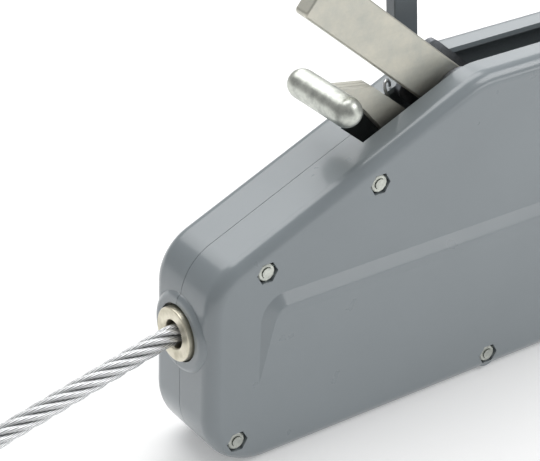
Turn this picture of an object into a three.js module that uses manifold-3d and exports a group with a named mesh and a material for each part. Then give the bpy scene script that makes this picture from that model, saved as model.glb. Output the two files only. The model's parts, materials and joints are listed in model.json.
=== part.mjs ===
// Wire rope puller (jaw type, 1.6 t class, 11 mm rope), modelled piece by piece.
// Millimetres, +Z up. X runs along the casing from the nose (rope outlet) to the anchor end,
// the origin is on the flat base half way along the casing, and the casing halves meet near Y = 0.
import * as THREE from 'three';
import Module from 'manifold-3d';
import { mergeVertices } from 'three/addons/utils/BufferGeometryUtils.js';

const wasm = await Module();
wasm.setup();

// ---------------------------------------------------------------- driving dimensions
const ROPE_D = 11;                 // wire rope diameter
const ROPE_Z = 81;                 // height of the rope line above the base
const GAP = 0.3;                   // clearance between touching pieces

const CASING = {
  length: 500,                     // nose face to anchor end face
  width: 54,                       // outside, over the two halves
  wall: 3,
  fillet: 8,                       // rounding of the pressed edges
  topZ: 195.5,                     // flat top
  noseTopZ: 120,                   // where the sloping top would meet the nose face
  noseSlope: 23.75,                // degrees
  rearTopX: 330,                   // flat top ends here
  rearSlope: 24.5,
  lowerRadius: 38,
  upperRadius: 30,
  crownRadius: 45,
};
const PARTING_Y = 0.75;            // the joint line lies just behind the middle plane
const SLOT = { front: 106.5, rear: 345, halfWidth: 9.7 };

const PANEL = { height: 3.2, bevel: 8, foot: 31, top: 105, crease: 92, fade: 48, rear: 440 };
const CRANK_BULGE = { front: 228, rear: 365, top: 168 };

const BUSH = { outer: 30, inner: 15.6, proud: 5.2, flange: 37, hole: 16 };

const SCREW = { shank: 6, across: 10, headHeight: 4, pocketAcross: 11.4, pocketDepth: 5.6, boss: 8.5 };
const SCREW_PLACES = [
  [19, 19], [35, 119], [106, 150], [196, 11], [350, 11], [481, 19], [466, 117], [410, 143],
];

const CRANK = { x: 231.4, z: 128, throw: 26, shaft: 18, slack: 1.5, boss: 14, bossDepth: 4 };
const LEVER = { reach: 200.3, width: 26.2, thickness: 10, lean: 50.5, swing: 75, midLean: 13 };
const CHEEK = { thickness: 4, width: 31, reach: 92, corner: 15.1 };
const FAR_CHEEK = { thickness: 4, width: 36, reach: 104, corner: 5 };   // stands out of the slot
const PIN_D = 8;

const REVERSE = { x: 171, z: 145, width: 16, thickness: 8, lean: 5.3, tipZ: 284, y: 30.6, shaft: 12 };
const RELEASE = { x: 158, z: 148, gripX: 87, gripZ: 194, gripD: 16.6, gripSpan: 37.6, depth: 12, plate: 3 };

const JAW = { length: 74, width: 24, cheek: 3, bottomZ: 56, topZ: 110, blockHeight: 15 };
const FRONT_JAW_X = 56;            // front end of the front jaw housing
const REAR_JAW_X = 338;            // front end of the rear jaw housing
const DRAWBAR = { inner: 9.9, thickness: 4, height: 18 };

const ANCHOR = { x: 470, z: 58, pin: 18, legIn: 28.2, legOut: 36, legHeight: 26, bridgeX: 68, bridge: 16 };
const ANCHOR_DROP = 10;            // degrees the anchor fitting hangs below level

// Rope wound into a long hank: straight runs with round ends, lying beyond the nose.
const HANK = { x: -381.5, y: 39, straight: 165, mid: 52.5, acrossTurns: 5, layers: 6 };
const END_Z = 78.6;                // height of the rope's centre line at the load hook, on top of the hank
const EYE = {
  x: HANK.x + 55, inner: 14.5, web: 1.3, flange: 5, depth: 14.4, ferrule: 32, pinX: 8.2, pin: 6,
};

// ---------------------------------------------------------------- colours
const PAINT = { color: 0x87909a, roughness: 0.35, metalness: 0.2 };
const DARK_PAINT = { color: 0x5a6268, roughness: 0.45, metalness: 0.2 };
const ZINC = { color: 0xc9c6b4, roughness: 0.4, metalness: 0.9 };
const STEEL = { color: 0x9a9da0, roughness: 0.4, metalness: 0.9 };
const ROPE_STEEL = { color: 0xb8babb, roughness: 0.45, metalness: 0.8 };
const FORGED = { color: 0x6f7479, roughness: 0.5, metalness: 0.6 };

// ---------------------------------------------------------------- helpers
const rad = THREE.MathUtils.degToRad;
const { Manifold, Mesh: ManifoldMesh } = wasm;

function toSolid(geometry) {
  const bare = geometry.clone();
  for (const name of ['normal', 'uv']) bare.deleteAttribute(name);
  const merged = mergeVertices(bare, 1e-4);
  return new Manifold(new ManifoldMesh({
    numProp: 3,
    vertProperties: new Float32Array(merged.attributes.position.array),
    triVerts: new Uint32Array(merged.index.array),
  }));
}

function toGeometry(solid) {
  const mesh = solid.getMesh();
  const geometry = new THREE.BufferGeometry();
  geometry.setAttribute('position', new THREE.BufferAttribute(new Float32Array(mesh.vertProperties), 3));
  geometry.setIndex(new THREE.BufferAttribute(new Uint32Array(mesh.triVerts), 1));
  return geometry;
}

function box(x0, x1, y0, y1, z0, z1) {
  const geometry = new THREE.BoxGeometry(x1 - x0, y1 - y0, z1 - z0);
  return toSolid(geometry.translate((x0 + x1) / 2, (y0 + y1) / 2, (z0 + z1) / 2));
}

// A plate cut to a shape drawn in the XZ plane, between two values of Y.
function plate(shape, y0, y1, options = {}) {
  const { bevel = 0, bevelDepth = bevel, bevelSteps = 1 } = options;
  const geometry = new THREE.ExtrudeGeometry(shape, {
    depth: y1 - y0 - 2 * bevelDepth,
    bevelEnabled: bevel > 0,
    bevelSize: bevel,
    bevelThickness: bevelDepth,
    bevelOffset: -bevel,
    bevelSegments: bevelSteps,
  });
  return toSolid(geometry.rotateX(Math.PI / 2).translate(0, y1 - bevelDepth, 0));
}

// A cylinder or prism along Y, X or Z.
const SPIN = { X: (g) => g.rotateZ(-Math.PI / 2), Y: (g) => g, Z: (g) => g.rotateX(Math.PI / 2) };
function rod(axis, radius, low, high, centre, sides = 20) {
  const geometry = SPIN[axis](new THREE.CylinderGeometry(radius, radius, high - low, sides));
  const mid = (low + high) / 2;
  const [a, b] = centre;
  if (axis === 'X') geometry.translate(mid, a, b);
  if (axis === 'Y') geometry.translate(a, mid, b);
  if (axis === 'Z') geometry.translate(a, b, mid);
  return toSolid(geometry);
}

// A body of revolution about X. The profile is a closed list of [x, radius], in either order.
function turnedX(profile, centreY, centreZ, sides = 28) {
  const points = profile.map(([x, r]) => new THREE.Vector2(r, x));
  if (THREE.ShapeUtils.isClockWise(points)) points.reverse();
  points.push(points[0]);
  const geometry = new THREE.LatheGeometry(points, sides);
  return toSolid(SPIN.X(geometry).translate(0, centreY, centreZ));
}

// Closed outline with straight sides and rounded corners. Each corner is [x, z, radius],
// listed anticlockwise, and inset moves every side inwards. Corners turn in steps of about arcStep degrees.
function roundedOutline(corners, inset = 0, arcStep = 16) {
  const count = corners.length;
  const points = corners.map(([x, z]) => new THREE.Vector2(x, z));
  const side = (i) => {
    const from = points[i % count];
    const along = points[(i + 1) % count].clone().sub(from).normalize();
    return { from: from.clone().add(new THREE.Vector2(-along.y, along.x).multiplyScalar(inset)), along };
  };
  const outline = [];
  corners.forEach(([, , radius], i) => {
    const before = side(i + count - 1);
    const after = side(i);
    const turn = Math.sign(before.along.cross(after.along));
    const reach = after.from.clone().sub(before.from).cross(after.along) / before.along.cross(after.along);
    const corner = before.from.clone().addScaledVector(before.along, reach);
    const round = Math.max(radius - turn * inset, 0);
    const angle = Math.acos(THREE.MathUtils.clamp(before.along.dot(after.along), -1, 1));
    const start = corner.clone().addScaledVector(before.along, -round * Math.tan(angle / 2));
    const inward = new THREE.Vector2(-before.along.y, before.along.x).multiplyScalar(turn * round);
    const centre = start.clone().add(inward);
    const steps = round < 0.05 ? 0 : Math.max(1, Math.round(THREE.MathUtils.radToDeg(angle) / arcStep));
    for (let k = 0; k <= steps; k += 1) {
      const point = steps ? start.clone().rotateAround(centre, turn * angle * (k / steps)) : corner;
      if (!outline.length || outline.at(-1).distanceTo(point) > 0.01) outline.push(point);
    }
  });
  if (outline[0].distanceTo(outline.at(-1)) < 0.01) outline.pop();
  return new THREE.Shape(outline);
}

// A straight bar with round ends between two points of the XZ plane.
function barShape(from, to, width, endRadiusFrom = width / 2, endRadiusTo = width / 2) {
  const a = new THREE.Vector2(...from);
  const b = new THREE.Vector2(...to);
  const along = b.clone().sub(a).normalize();
  const across = new THREE.Vector2(-along.y, along.x).multiplyScalar(width / 2);
  const tail = a.clone().sub(along.clone().multiplyScalar(width / 2));
  const head = b.clone().add(along.clone().multiplyScalar(width / 2));
  const corner = (p, s, r) => [p.x + s * across.x, p.y + s * across.y, Math.min(r, width / 2 - 0.4)];
  return roundedOutline([corner(tail, 1, endRadiusFrom), corner(tail, -1, endRadiusFrom),
    corner(head, -1, endRadiusTo), corner(head, 1, endRadiusTo)]);
}

function polar(x, z, radius, degrees) {
  return [x + radius * Math.cos(rad(degrees)), z + radius * Math.sin(rad(degrees))];
}

const puller = new THREE.Group();
puller.position.x = -CASING.length / 2;

function add(name, solid, look, parent = puller) {
  const mesh = new THREE.Mesh(toGeometry(solid), new THREE.MeshStandardMaterial(look));
  mesh.name = name;
  parent.add(mesh);
  return mesh;
}

// ---------------------------------------------------------------- casing
const tan = (degrees) => Math.tan(rad(degrees));
const noseCrownX = (CASING.topZ - CASING.noseTopZ) / tan(CASING.noseSlope);
const rearTopZ = CASING.topZ - (CASING.length - CASING.rearTopX) * tan(CASING.rearSlope);
const casingCorners = [
  [0, 0, CASING.lowerRadius],
  [CASING.length, 0, CASING.lowerRadius],
  [CASING.length, rearTopZ, CASING.upperRadius],
  [CASING.rearTopX, CASING.topZ, CASING.crownRadius],
  [noseCrownX, CASING.topZ, CASING.crownRadius],
  [0, CASING.noseTopZ, CASING.upperRadius],
];
const half = CASING.width / 2;
const inside = half - CASING.wall;
const crankAt = [CRANK.x, CRANK.z];

// Raised field on each flat side: bevelled round its edge, it leans in below its crease until it runs out.
function sidePanel(side) {
  const corners = [
    [PANEL.foot, 8, 10],
    [PANEL.rear, 8, 10],
    [PANEL.rear, PANEL.top, 16],
    [CRANK_BULGE.rear, PANEL.top, 10],
    [CRANK_BULGE.rear - 24, CRANK_BULGE.top, 14],
    [CRANK_BULGE.front + 24, CRANK_BULGE.top, 14],
    [CRANK_BULGE.front, PANEL.top, 10],
    [PANEL.foot, PANEL.top, 16],
  ];
  const inner = half - CASING.wall / 2;
  const outer = half + PANEL.height;
  const slab = plate(roundedOutline(corners), -outer, outer,
    { bevel: PANEL.bevel, bevelDepth: PANEL.height + 0.4 });
  const wedge = new THREE.Shape([
    new THREE.Vector2(inner, 20),
    new THREE.Vector2(half - 0.4, PANEL.fade - 2),
    new THREE.Vector2(outer, PANEL.crease),
    new THREE.Vector2(outer, CASING.topZ),
    new THREE.Vector2(inner, CASING.topZ),
  ]);
  const long = new THREE.ExtrudeGeometry(wedge, { depth: CASING.length, bevelEnabled: false });
  const matrix = new THREE.Matrix4().makeBasis(
    new THREE.Vector3(0, 1, 0), new THREE.Vector3(0, 0, 1), new THREE.Vector3(1, 0, 0));
  const far = slab.intersect(toSolid(long.applyMatrix4(matrix)));
  return side > 0 ? far : far.mirror([0, 1, 0]);
}

// Swelling of the end face round the rope bush.
function bushBoss(atNose) {
  const face = atNose ? 0 : CASING.length;
  const out = atNose ? -1 : 1;
  const profile = [
    [face - out * 12, 0], [face - out * 12, 23], [face - out * 3, 23], [face + out * 0.6, 21.5],
    [face + out * 2.2, 19], [face + out * 2.2, 0],
  ];
  return turnedX(profile, 0, ROPE_Z, 26);
}

function casing() {
  const outer = plate(roundedOutline(casingCorners), -half, half, { bevel: CASING.fillet, bevelSteps: 3 });
  const cavity = plate(roundedOutline(casingCorners, CASING.wall), -inside, inside,
    { bevel: CASING.fillet - CASING.wall });
  let body = outer.add(bushBoss(true)).add(bushBoss(false)).add(sidePanel(1)).add(sidePanel(-1));
  body = body.subtract(cavity);
  for (const place of SCREW_PLACES) body = body.add(rod('Y', SCREW.boss, 1 - half, half - 1, place, 12));
  const seat = rod('Y', CRANK.boss, inside - CRANK.bossDepth, half - 1, crankAt, 24);
  body = body.add(seat).add(seat.mirror([0, 1, 0]));
  for (const place of SCREW_PLACES) {
    body = body.subtract(rod('Y', SCREW.shank / 2 + GAP, -half - 1, half + 1, place, 12));
    const pocket = SCREW.pocketAcross / Math.sqrt(3);
    body = body.subtract(rod('Y', pocket, -half - 1, SCREW.pocketDepth - half, place, 6));
    body = body.subtract(rod('Y', pocket, half - SCREW.pocketDepth, half + 1, place, 6));
  }
  body = body.subtract(box(SLOT.front, SLOT.rear, -SLOT.halfWidth, SLOT.halfWidth, 120, 220));
  for (const face of [0, CASING.length]) {
    body = body.subtract(rod('X', BUSH.hole, face - 20, face + 20, [0, ROPE_Z], 32));
  }
  body = body.subtract(rod('Y', CRANK.shaft / 2 + GAP, -inside, inside, crankAt, 24));
  body = body.subtract(rod('Y', REVERSE.shaft / 2 + GAP, 10, 60, [REVERSE.x, REVERSE.z], 20));
  body = body.subtract(rod('Y', ANCHOR.pin / 2 + GAP, -60, 60, [ANCHOR.x, ANCHOR.z], 24));
  const near = body.intersect(box(-50, 550, -80, PARTING_Y - GAP / 2, -10, 260));
  const far = body.intersect(box(-50, 550, PARTING_Y + GAP / 2, 80, -10, 260));
  return { near, far };
}

// Flanged guide bush held in the end wall, with a rounded mouth for the rope.
function ropeBush(face, out) {
  const x = (d) => face + out * d;
  const bore = BUSH.inner / 2;
  const rim = BUSH.outer / 2;
  const profile = [
    [x(BUSH.proud), bore + 2], [x(BUSH.proud), rim - 1.2], [x(BUSH.proud - 1.2), rim], [x(-3.6), rim],
    [x(-3.6), BUSH.flange / 2], [x(-9), BUSH.flange / 2], [x(-9), bore], [x(BUSH.proud - 2), bore],
  ];
  return turnedX(profile, 0, ROPE_Z, 26);
}

const shells = casing();
add('casing_near', shells.near, PAINT);
add('casing_far', shells.far, PAINT);
add('rope_bush_nose', ropeBush(0, -1), ZINC);
add('rope_bush_rear', ropeBush(CASING.length, 1), ZINC);

// ---------------------------------------------------------------- casing screws and nuts
function hexBlank(y0, y1, place, chamferAt) {
  const corner = SCREW.across / Math.sqrt(3);
  const profile = [new THREE.Vector2(0, 0), new THREE.Vector2(corner + 0.2, 0),
    new THREE.Vector2(corner + 0.2, y1 - y0 - 0.9), new THREE.Vector2(SCREW.across / 2 - 0.4, y1 - y0),
    new THREE.Vector2(0, y1 - y0)];
  const turned = new THREE.LatheGeometry(profile, 12);
  if (chamferAt < 0) turned.rotateX(Math.PI).translate(0, y1 - y0, 0);
  return rod('Y', corner, y0, y1, place, 6).intersect(toSolid(turned.translate(place[0], y0, place[1])));
}

SCREW_PLACES.forEach((place, i) => {
  const floor = half - SCREW.pocketDepth + GAP;
  const head = hexBlank(floor, floor + SCREW.headHeight, place, 1);
  const shank = rod('Y', SCREW.shank / 2, -floor - 5.1, floor + 1, place, 10);
  add(`casing_screw_${i + 1}`, head.add(shank), ZINC);
  const thread = rod('Y', SCREW.shank / 2 + 0.25, -40, -10, place, 10);
  add(`casing_nut_${i + 1}`, hexBlank(-floor - 4.4, -floor, place, -1).subtract(thread), ZINC);
});

// ---------------------------------------------------------------- forward lever and crank
const leverAngle = 90 + LEVER.lean;
const armTilt = LEVER.lean - LEVER.midLean;          // crank arms from upright, at rest
const inLine = (radius, degrees) => polar(CRANK.x, CRANK.z, radius, degrees);
const shearPinPlaces = [inLine(46, leverAngle), inLine(76, leverAngle)];
const shaftHole = () => rod('Y', CRANK.shaft / 2 + 0.25, -60, 60, crankAt, 24);

function forwardLever() {
  const flatEnd = LEVER.reach - LEVER.width / 2;
  const shape = barShape(crankAt, inLine(flatEnd, leverAngle), LEVER.width, LEVER.width / 2, 2.5);
  let lever = plate(shape, -LEVER.thickness / 2, LEVER.thickness / 2, { bevel: 0.8 });
  for (const place of shearPinPlaces) lever = lever.subtract(rod('Y', 3.3, -20, 20, place, 14));
  return lever.subtract(shaftHole());
}

// One side plate of the crank: it carries the lever above the shaft, and its slotted arm drives a draw bar.
function crankCheek({ thickness, width, reach, corner }, y0, armDegrees) {
  const y1 = y0 + thickness;
  const end = inLine(reach - width / 2, leverAngle);
  const blade = plate(barShape(crankAt, end, width, width / 2, corner), y0, y1);
  const arm = plate(barShape(crankAt, inLine(32, armDegrees), 24, 12, 6), y0, y1);
  const slotShape = barShape(inLine(25, armDegrees), inLine(35, armDegrees), PIN_D + 2 * CRANK.slack);
  const slot = plate(slotShape, y0 - 1, y1 + 1);
  let cheek = blade.add(arm).subtract(slot).subtract(shaftHole());
  for (const place of shearPinPlaces) cheek = cheek.subtract(rod('Y', 3.3, -20, 20, place, 14));
  return cheek;
}

const cheekIn = LEVER.thickness / 2 + GAP;
const lowerArm = 270 + armTilt;
const upperArm = 90 + armTilt;
add('forward_lever', forwardLever(), ZINC);
add('crank_cheek_near', crankCheek(CHEEK, -cheekIn - CHEEK.thickness, upperArm), STEEL);
add('crank_cheek_far', crankCheek(FAR_CHEEK, cheekIn, lowerArm), STEEL);
shearPinPlaces.forEach((place, i) => add(`shear_pin_${i + 1}`, rod('Y', 3, -9.5, 9.5, place, 14), ZINC));

// The shaft is trapped between the casing halves, in the blind hole of the seat inside each of them.
add('crank_shaft', rod('Y', CRANK.shaft / 2, GAP - inside, inside - GAP, crankAt, 24), STEEL);

// ---------------------------------------------------------------- jaw carriages on the rope
const ropeRod = (clear = GAP) => rod('X', ROPE_D / 2 + clear, -100, 700, [0, ROPE_Z], 16);

// Open-topped channel that holds a lower and an upper jaw round the rope.
function jawHousing(x0) {
  const x1 = x0 + JAW.length;
  const outside = box(x0, x1, -JAW.width / 2, JAW.width / 2, JAW.bottomZ, JAW.topZ);
  const room = JAW.width / 2 - JAW.cheek;
  const channel = box(x0 + 6, x1 - 6, -room, room, JAW.bottomZ + 5, JAW.topZ - 6);
  return outside.subtract(channel).subtract(rod('X', ROPE_D / 2 + 1.5, x0 - 5, x1 + 5, [0, ROPE_Z], 16));
}

function jawBlock(x0, z0, z1) {
  const room = JAW.width / 2 - JAW.cheek - GAP;
  const x1 = x0 + JAW.length;
  const shape = roundedOutline([[x0 + 6.5, z0, 2], [x1 - 6.5, z0, 2], [x1 - 6.5, z1, 2], [x0 + 6.5, z1, 2]]);
  return plate(shape, -room, room).subtract(ropeRod());
}

// Round-wire compression spring standing on the upper jaw.
function jawSpring(x, z0, z1) {
  const turns = 4;
  const coil = new THREE.Curve();
  coil.getPoint = (t) => new THREE.Vector3(
    x + 5 * Math.cos(2 * Math.PI * turns * t), 5 * Math.sin(2 * Math.PI * turns * t),
    z0 + 0.9 + (z1 - z0 - 1.8) * t);
  const wire = new THREE.Shape().absarc(0, 0, 0.8, 0, 2 * Math.PI);
  return toSolid(new THREE.ExtrudeGeometry(wire, { steps: 36, extrudePath: coil, curveSegments: 3 }));
}

const jawTop = ROPE_Z + JAW.blockHeight;
for (const [name, x0] of [['front', FRONT_JAW_X], ['rear', REAR_JAW_X]]) {
  add(`${name}_jaw_housing`, jawHousing(x0), FORGED);
  add(`${name}_lower_jaw`, jawBlock(x0, JAW.bottomZ + 5 + GAP, ROPE_Z - 1.2), STEEL);
  add(`${name}_upper_jaw`, jawBlock(x0, ROPE_Z + 1.2, jawTop), STEEL);
  add(`${name}_jaw_spring`, jawSpring(x0 + JAW.length / 2, jawTop + 0.1, JAW.topZ - 6.1), STEEL);
}

// Flat draw bars. Each carries a drive pin that rides in the slot of its crank cheek.
const pinShift = CRANK.throw * Math.tan(rad(armTilt));
const drawInner = DRAWBAR.inner;
const drawOuter = drawInner + DRAWBAR.thickness;

function frontDrawbar() {
  const z = CRANK.z - CRANK.throw;
  const pinX = CRANK.x + pinShift;
  const jawEnd = FRONT_JAW_X + JAW.length;
  const bar = plate(barShape([jawEnd + 12, z], [pinX, z], DRAWBAR.height), drawInner, drawOuter);
  const lug = plate(roundedOutline([[FRONT_JAW_X + 4, 62, 4], [jawEnd - 10, 62, 4], [jawEnd + 26, 94, 4],
    [jawEnd + 26, 110, 4], [FRONT_JAW_X + 34, 110, 4], [FRONT_JAW_X + 4, 98, 4]]),
  JAW.width / 2 + GAP, drawOuter + GAP + 0.5);
  const pin = rod('Y', PIN_D / 2, cheekIn + 0.2, drawInner + 1, [pinX, z], 16);
  const reversePin = rod('Y', 4, drawOuter - 1, drawOuter + 5.5, [REVERSE.x + pinShift, z], 16);
  return bar.add(lug).add(pin).add(reversePin);
}

function rearDrawbar() {
  const z = CRANK.z + CRANK.throw;
  const pinX = CRANK.x - pinShift;
  const reachX = REAR_JAW_X + 10;
  const bar = plate(barShape([pinX, z], [reachX, z], DRAWBAR.height), -drawOuter, -drawInner);
  const drop = plate(barShape([reachX, 70], [reachX, z], DRAWBAR.height), -drawOuter - 1.6,
    -JAW.width / 2 - GAP);
  const pin = rod('Y', PIN_D / 2, -drawInner - 1, -cheekIn - 0.2, [pinX, z], 16);
  return bar.add(drop).add(pin);
}
add('front_drawbar', frontDrawbar(), STEEL);
add('rear_drawbar', rearDrawbar(), STEEL);

// ---------------------------------------------------------------- reverse lever, on the far side
const reverseAt = [REVERSE.x, REVERSE.z];
const reverseDrop = REVERSE.z - (CRANK.z - CRANK.throw);
function reverseLever() {
  const tip = [REVERSE.x - (REVERSE.tipZ - REVERSE.z) * tan(REVERSE.lean), REVERSE.tipZ - REVERSE.width / 2];
  const outer = REVERSE.y + REVERSE.thickness;
  const bar = plate(barShape(reverseAt, tip, REVERSE.width, 7.9, 2), REVERSE.y, outer, { bevel: 0.6 });
  const hub = rod('Y', 13, REVERSE.y, outer + 3, reverseAt, 24);
  return bar.add(hub).subtract(rod('Y', REVERSE.shaft / 2 + 0.25, 0, 60, reverseAt, 20));
}

function reverseShaft() {
  const outer = REVERSE.y + REVERSE.thickness + 3;
  const shaft = rod('Y', REVERSE.shaft / 2, 15, outer + 1, reverseAt, 20);
  return shaft.add(rod('Y', REVERSE.shaft / 2 + 2.5, outer + GAP, outer + 2.3, reverseAt, 20));
}

function reverseArm() {
  const y0 = drawOuter + 1;
  const y1 = y0 + 4;
  const armAngle = 270 + THREE.MathUtils.radToDeg(Math.atan2(pinShift, reverseDrop));
  const reach = (radius) => polar(REVERSE.x, REVERSE.z, radius, armAngle);
  const arm = plate(barShape(reverseAt, reach(52), 20, 10, 5), y0, y1);
  const slot = plate(barShape(reach(44), reach(60), 8 + 2 * CRANK.slack), y0 - 1, y1 + 1);
  return arm.subtract(slot).subtract(rod('Y', REVERSE.shaft / 2 + 0.25, 0, 60, reverseAt, 20));
}
add('reverse_lever', reverseLever(), DARK_PAINT);
add('reverse_shaft', reverseShaft(), ZINC);
add('reverse_arm', reverseArm(), STEEL);

// ---------------------------------------------------------------- release lever
const releaseAt = [RELEASE.x, RELEASE.z];
function releaseGrip() {
  const r = RELEASE.gripD / 2;
  const capsule = new THREE.CapsuleGeometry(r, RELEASE.gripSpan, 4, 16);
  const across = (2 * RELEASE.plate + GAP) + RELEASE.plate / 2 + 0.5;
  const grip = toSolid(capsule.translate(RELEASE.gripX, 0, RELEASE.gripZ));
  return grip.subtract(box(RELEASE.gripX + 4.6, RELEASE.gripX + 20, -across, across, 180, 205));
}

// One of the three side-by-side strips that make the arm: level at the grip, then down to the pivot.
function releasePlate(y) {
  const d = RELEASE.depth;
  const shape = roundedOutline([
    [RELEASE.gripX + 5, RELEASE.gripZ + 6 - d, 1],
    [RELEASE.gripX + 22, RELEASE.gripZ - 9.5, 6],
    [RELEASE.x - 14, RELEASE.z - 3, 10],
    [RELEASE.x - 4, RELEASE.z - 36, 4],
    [RELEASE.x + 6, RELEASE.z - 36, 4],
    [RELEASE.x + 10, RELEASE.z + 4, 9],
    [RELEASE.gripX + 28, RELEASE.gripZ + 1, 3],
    [RELEASE.gripX + 5, RELEASE.gripZ + 5, 1],
  ]);
  const strip = plate(shape, y - RELEASE.plate / 2, y + RELEASE.plate / 2);
  return strip.subtract(rod('Y', 5 + 0.25, -20, 20, releaseAt, 18));
}
add('release_grip', releaseGrip(), ZINC);
[-1, 0, 1].forEach((i) => add(`release_plate_${i + 2}`, releasePlate(i * (RELEASE.plate + GAP)), ZINC));
add('release_pivot_pin', rod('Y', 5, -half + CASING.wall + GAP, 8, releaseAt, 18), STEEL);

// Long flat bar that the foot of the release lever pushes along to open both jaws.
function releaseBar() {
  const z = RELEASE.z - 35;
  const y0 = -JAW.width / 2 - 7.6;
  const bar = plate(barShape([FRONT_JAW_X + 20, z], [REAR_JAW_X + 40, z], 8), y0, y0 + 3);
  return bar.add(rod('Y', 3, y0 + 1, 5, [RELEASE.x + 10, z], 12));
}
add('release_bar', releaseBar(), STEEL);

// ---------------------------------------------------------------- rope
const tailX = CASING.length + 34;
function ropeInCasing() {
  const r = ROPE_D / 2;
  const profile = [[6, 0], [6, r], [tailX - 8, r], [tailX, r - 2.5], [tailX, 0]];
  return turnedX(profile, 0, ROPE_Z, 16);
}
add('rope_in_casing', ropeInCasing(), ROPE_STEEL);

// ---------------------------------------------------------------- anchor pin, fork and hook
const anchor = new THREE.Group();
anchor.position.set(ANCHOR.x, 0, ANCHOR.z);
anchor.rotation.y = rad(ANCHOR_DROP);
puller.add(anchor);

function anchorPin() {
  const end = ANCHOR.legOut + 6;
  const pin = rod('Y', ANCHOR.pin / 2, -ANCHOR.legOut - 1, end, [ANCHOR.x, ANCHOR.z], 24);
  const centre = [ANCHOR.x, ANCHOR.z];
  const head = rod('Y', ANCHOR.pin / 2 + 4, -ANCHOR.legOut - 6, -ANCHOR.legOut - GAP, centre, 24);
  const clipHole = rod('Z', 2, 0, 120, [ANCHOR.x, ANCHOR.legOut + 3], 10);
  return pin.add(head).subtract(clipHole);
}

// Split ring through the cross hole of the pin.
function anchorPinClip() {
  const profile = new THREE.Shape().absarc(0, 0, 1.5, 0, 2 * Math.PI);
  const bends = [[0, -17], [0, 17], [5, 21.5], [11, 16], [12.3, 6], [12.3, -8]];
  const points = bends.map(([x, z]) => new THREE.Vector3(ANCHOR.x + x, ANCHOR.legOut + 3, ANCHOR.z + z));
  const loop = new THREE.CatmullRomCurve3(points, false, 'catmullrom', 0.3);
  return toSolid(new THREE.ExtrudeGeometry(profile, { steps: 20, extrudePath: loop, curveSegments: 3 }));
}

// U-shaped strap round the casing end: drawn from above, then rounded at the pin from the side.
function anchorFork() {
  const { legIn, legOut, legHeight, bridgeX, bridge } = ANCHOR;
  const back = bridgeX + bridge;
  const plan = roundedOutline([[-20, -legOut, 1], [back, -legOut, 16], [back, legOut, 16], [-20, legOut, 1],
    [-20, legIn, 0.5], [bridgeX, legIn, 8], [bridgeX, -legIn, 8], [-20, -legIn, 0.5]]);
  const strap = new THREE.ExtrudeGeometry(plan, { depth: legHeight, bevelEnabled: false, curveSegments: 5 });
  const sideView = plate(barShape([0, 0], [back - 6, 0], legHeight, legHeight / 2, 5), -60, 60);
  return toSolid(strap.translate(0, 0, -legHeight / 2)).intersect(sideView)
    .subtract(rod('Y', ANCHOR.pin / 2 + GAP, -60, 60, [0, 0], 24))
    .subtract(rod('X', 6.3, 0, 120, [0, 0], 20));
}

const HOOK = { bowl: 19, thick: 17, depth: 15, latchPivot: [-22.5, 14.5], latchTip: [11, 20.5] };

// Hook bowl outline: a band round the bowl that is widest below and thin at the tip.
function hookShape(bowl, thick) {
  const inner = [];
  const outer = [];
  const steps = 14;
  for (let i = 0; i <= steps; i += 1) {
    const t = i / steps;
    const degrees = 168 + 222 * t;
    const band = thick * (0.7 + 0.42 * Math.sin(Math.PI * Math.min(t * 1.25, 1)) - 0.25 * t);
    inner.push(new THREE.Vector2(...polar(0, 0, bowl, degrees)));
    outer.push(new THREE.Vector2(...polar(0, 0, bowl + band, degrees)));
  }
  const tip = inner.at(-1).clone().add(outer.at(-1)).multiplyScalar(0.5).add(new THREE.Vector2(-5, 6));
  return new THREE.Shape([...outer, tip, ...inner.reverse()]);
}

// Forged hook bowl in the XZ plane round the origin, open towards +Z, with its shank along -X.
function hookBowl({ bowl, thick, depth }) {
  const bevel = 2.5;
  const geometry = new THREE.ExtrudeGeometry(hookShape(bowl, thick), {
    depth: depth - 2 * bevel,
    bevelEnabled: true,
    bevelSize: bevel,
    bevelThickness: bevel,
    bevelOffset: -bevel,
    bevelSegments: 1,
  });
  return toSolid(geometry.rotateX(Math.PI / 2).translate(0, depth / 2 - bevel, 0));
}

// The bowl with its shank from shankX and a pair of ears for the latch.
function forgedHook(shankX) {
  const earShape = roundedOutline([
    [-30, 5, 2], [-26, -8, 2], [-17, -12, 2], [-17, 6, 2], [-18.5, 19, 2], [-27, 19, 2],
  ]);
  const ear = plate(earShape, -6, -4.6);
  const shank = rod('X', 9.5, shankX, -HOOK.bowl - 5, [0, 0], 20);
  return hookBowl(HOOK).add(shank).add(ear).add(ear.mirror([0, 1, 0]));
}

// Safety latch: a thin strip from its pivot between the ears to the inside of the tip.
function hookLatch() {
  const strip = plate(barShape(HOOK.latchPivot, HOOK.latchTip, 6), -4, 4);
  return strip.subtract(rod('Y', 1.2, -10, 10, HOOK.latchPivot, 10));
}

const anchorHookX = ANCHOR.bridgeX + ANCHOR.bridge + 44;
function anchorHook() {
  const stem = rod('X', 6, ANCHOR.bridgeX - 9, ANCHOR.bridgeX + ANCHOR.bridge + 10, [0, 0], 20);
  return forgedHook(GAP - 44).translate(anchorHookX, 0, 0).add(stem);
}

add('anchor_pin', anchorPin(), ZINC);
add('anchor_pin_clip', anchorPinClip(), STEEL);
add('anchor_fork', anchorFork(), DARK_PAINT, anchor);
add('anchor_hook', anchorHook(), FORGED, anchor);

const hookNut = rod('X', 9, ANCHOR.bridgeX - 8.4, ANCHOR.bridgeX - GAP, [0, 0], 6)
  .subtract(rod('X', 6.3, 0, 90, [0, 0], 20));
add('anchor_hook_nut', hookNut, ZINC, anchor);
add('anchor_hook_latch', hookLatch().translate(anchorHookX, 0, 0), ZINC, anchor);

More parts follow.
